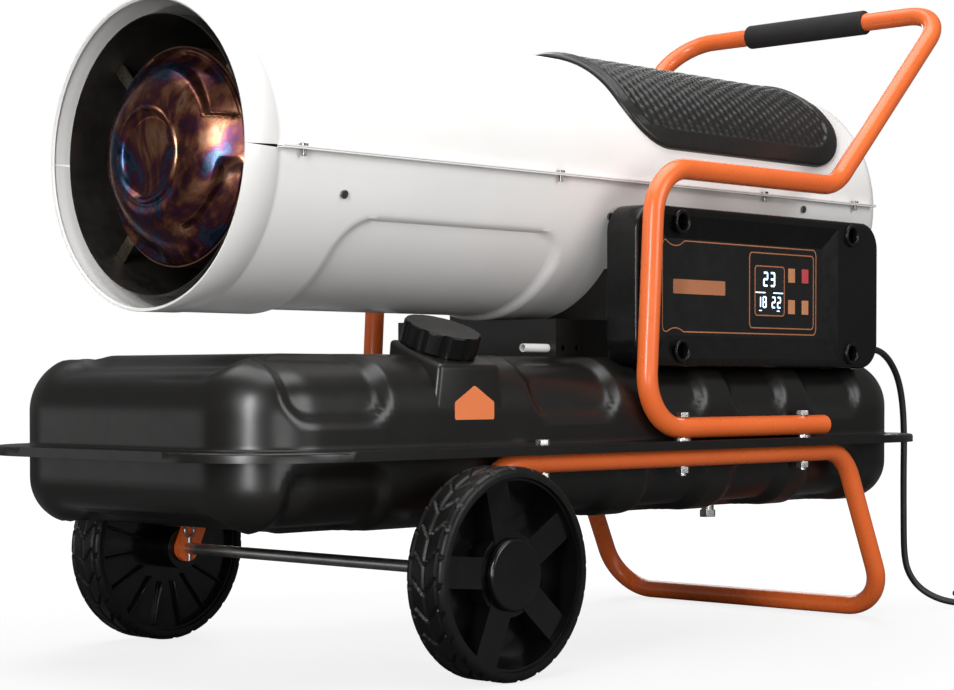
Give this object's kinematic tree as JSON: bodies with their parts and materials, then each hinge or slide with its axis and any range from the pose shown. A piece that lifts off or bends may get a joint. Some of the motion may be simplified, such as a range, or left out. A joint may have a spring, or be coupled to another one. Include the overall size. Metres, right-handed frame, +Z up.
{
  "type": "diesel forced air heater",
  "caption": "Wheeled forced air heater: round sheet barrel with flame dome outlet over a pressed fuel tank, side control box, tube leg frame and tube push handle.",
  "frame": {"origin": "floor level under the middle of the heater's bounding box, lead left out", "axes": "+Z up, -Y towards the hot air outlet, +X towards the control box"},
  "size_m": [0.6587, 1.2608, 0.742],
  "materials": {
    "tank_paint": "satin black powder coat",
    "shell_paint": "smooth white enamel",
    "frame_paint": "orange powder coat",
    "zinc_steel": "bright zinc",
    "dark_screw": "black oxide",
    "liner_steel": "dark heat-stained sheet",
    "hot_steel": "heat-tinted stainless sheet",
    "cast_metal": "cast",
    "motor_paint": "grey enamel",
    "carbon": "carbon",
    "copper_pipe": "drawn copper",
    "gauge_face": "white dial",
    "box_plastic": "satin black moulding",
    "cap_plastic": "fine grained black",
    "panel_print": "printed overlay",
    "display_glass": "dark window",
    "board_green": "solder mask",
    "key_copper": "printed key",
    "key_red": "printed key",
    "pad_plastic": "grained black moulding",
    "wheel_plastic": "black moulding",
    "tyre_rubber": "moulded rubber",
    "foam": "closed cell foam",
    "cord_rubber": "black sheath",
    "tie_fabric": "woven strap",
    "white_plastic": "plain white tube",
    "hose": "fuel hose"
  },
  "bodies": {
    "heater": {"tank_lower": "tank_paint", "tank_upper": "tank_paint", "filler_neck": "tank_paint", "riser": "tank_paint", "upper_shell": "shell_paint", "lower_shell": "shell_paint", "handle_tube": "frame_paint", "leg_tube": "frame_paint", "seam_screws": "zinc_steel", "shell_screws": "zinc_steel", "frame_bolts": "zinc_steel", "frame_nuts": "zinc_steel", "bolt_spacers": "zinc_steel", "cotter_pins": "zinc_steel", "axle": "zinc_steel", "drain_plug": "zinc_steel", "drum_clips": "zinc_steel", "electrodes": "zinc_steel", "cover_screws": "dark_screw", "rear_guard": "dark_screw", "air_liner": "liner_steel", "flame_dome": "hot_steel", "combustion_drum": "hot_steel", "burner_body": "cast_metal", "pump_body": "cast_metal", "pump_cover": "cast_metal", "motor": "motor_paint", "motor_bracket": "motor_paint", "air_pipe": "copper_pipe", "pressure_gauge": "gauge_face", "box_rear": "box_plastic", "box_cover": "box_plastic", "ignition_transformer": "box_plastic", "label_panel": "panel_print", "display": "display_glass", "circuit_board": "board_green", "top_pad": "pad_plastic", "foam_grip": "foam", "power_cord": "cord_rubber", "cord_coil": "cord_rubber", "plug": "cord_rubber", "cord_gland": "cord_rubber", "coil_tie": "tie_fabric", "vent_tube": "white_plastic", "fuel_line": "hose"},
    "right_wheel": {"right_wheel_rim": "wheel_plastic", "right_tyre": "tyre_rubber", "right_hub_cap": "wheel_plastic"},
    "left_wheel": {"left_wheel_rim": "wheel_plastic", "left_tyre": "tyre_rubber", "left_hub_cap": "wheel_plastic"},
    "fan_rotor": {"fan_shaft": "zinc_steel", "fan": "motor_paint", "pump_rotor": "carbon"},
    "cap_seal": {"cap_gasket": "cord_rubber"},
    "screw_cap": {"fuel_cap": "cap_plastic"},
    "menu_button": {"key_menu": "key_copper"},
    "power_button": {"key_power": "key_red"},
    "down_button": {"key_down": "key_copper"},
    "up_button": {"key_up": "key_copper"}
  },
  "joints": [
    {"name": "right_wheel_spin", "type": "hinge", "parent": "heater", "child": "right_wheel", "pos_m": [0.254, -0.29, 0.1], "axis": [1, 0, 0], "continuous": true},
    {"name": "left_wheel_spin", "type": "hinge", "parent": "heater", "child": "left_wheel", "pos_m": [-0.254, -0.29, 0.1], "axis": [1, 0, 0], "continuous": true},
    {"name": "fan_spin", "type": "hinge", "parent": "heater", "child": "fan_rotor", "pos_m": [0, 0.25, 0.49], "axis": [0, 1, 0], "continuous": true},
    {"name": "cap_lift", "type": "slide", "parent": "heater", "child": "cap_seal", "axis": [0.342, 0, 0.9397], "range_m": [0, 0.012]},
    {"name": "cap_turn", "type": "hinge", "parent": "cap_seal", "child": "screw_cap", "pos_m": [0.15, -0.266, 0.31], "axis": [0.342, 0, 0.9397], "range_deg": [0, 540]},
    {"name": "menu_press", "type": "slide", "parent": "heater", "child": "menu_button", "axis": [-1, 0, 0], "range_m": [0, 0.0008], "stiffness_N_per_m": 600},
    {"name": "power_press", "type": "slide", "parent": "heater", "child": "power_button", "axis": [-1, 0, 0], "range_m": [0, 0.0008], "stiffness_N_per_m": 600},
    {"name": "down_press", "type": "slide", "parent": "heater", "child": "down_button", "axis": [-1, 0, 0], "range_m": [0, 0.0008], "stiffness_N_per_m": 600},
    {"name": "up_press", "type": "slide", "parent": "heater", "child": "up_button", "axis": [-1, 0, 0], "range_m": [0, 0.0008], "stiffness_N_per_m": 600}
  ],
  "couplings": [
    {"joint": "cap_lift", "follows": "cap_turn", "m_per_rad": 0.001272}
  ]
}
